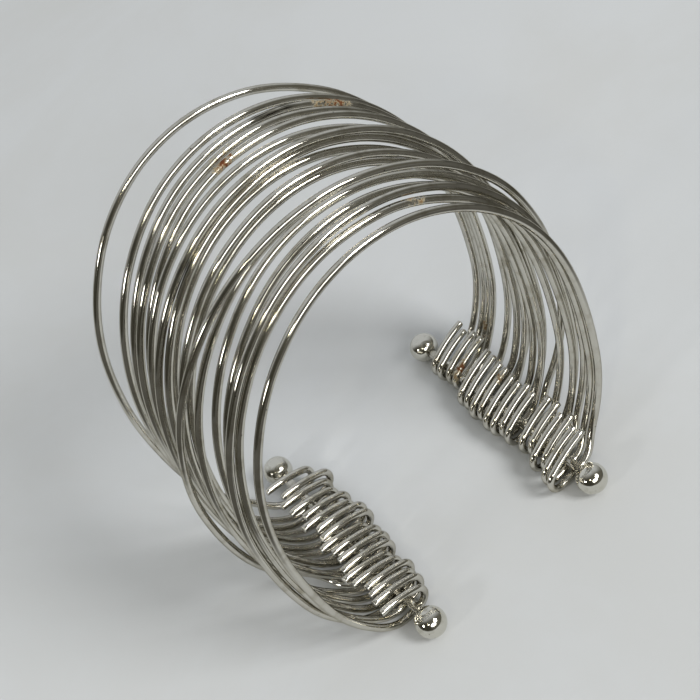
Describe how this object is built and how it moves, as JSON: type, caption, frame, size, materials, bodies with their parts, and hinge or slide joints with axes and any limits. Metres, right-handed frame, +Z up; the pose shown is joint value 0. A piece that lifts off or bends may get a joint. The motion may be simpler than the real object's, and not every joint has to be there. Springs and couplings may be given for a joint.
{
  "type": "wire cuff bracelet",
  "caption": "Open cuff bracelet of many separate sprung metal wires, hooked at both ends round two straight bars with polished ball ends.",
  "frame": {"origin": "on the surface it stands on, midway between the two bars and midway along them", "axes": "+X from the left bar to the right one, across the wrist; +Y along the bars, from the near rim to the far rim, which is the way the wrist goes in; +Z up"},
  "size_m": [0.0655, 0.0484, 0.0708],
  "materials": {
    "wire_steel": "bright drawn wire, polished, lightly tarnished in places",
    "rod_steel": "polished rod, darker between the hooks",
    "ball_plating": "mirror polished"
  },
  "bodies": {
    "root": {"wire_01": "wire_steel", "wire_02": "wire_steel", "wire_03": "wire_steel", "wire_04": "wire_steel", "wire_05": "wire_steel", "wire_06": "wire_steel", "wire_07": "wire_steel", "wire_08": "wire_steel", "wire_09": "wire_steel", "wire_10": "wire_steel", "wire_11": "wire_steel", "wire_12": "wire_steel", "wire_13": "wire_steel", "wire_14": "wire_steel", "wire_15": "wire_steel", "wire_16": "wire_steel", "wire_17": "wire_steel", "wire_18": "wire_steel", "rod_left": "rod_steel", "rod_right": "rod_steel", "ball_left_far": "ball_plating", "ball_left_near": "ball_plating", "ball_right_far": "ball_plating", "ball_right_near": "ball_plating"}
  },
  "joints": []
}
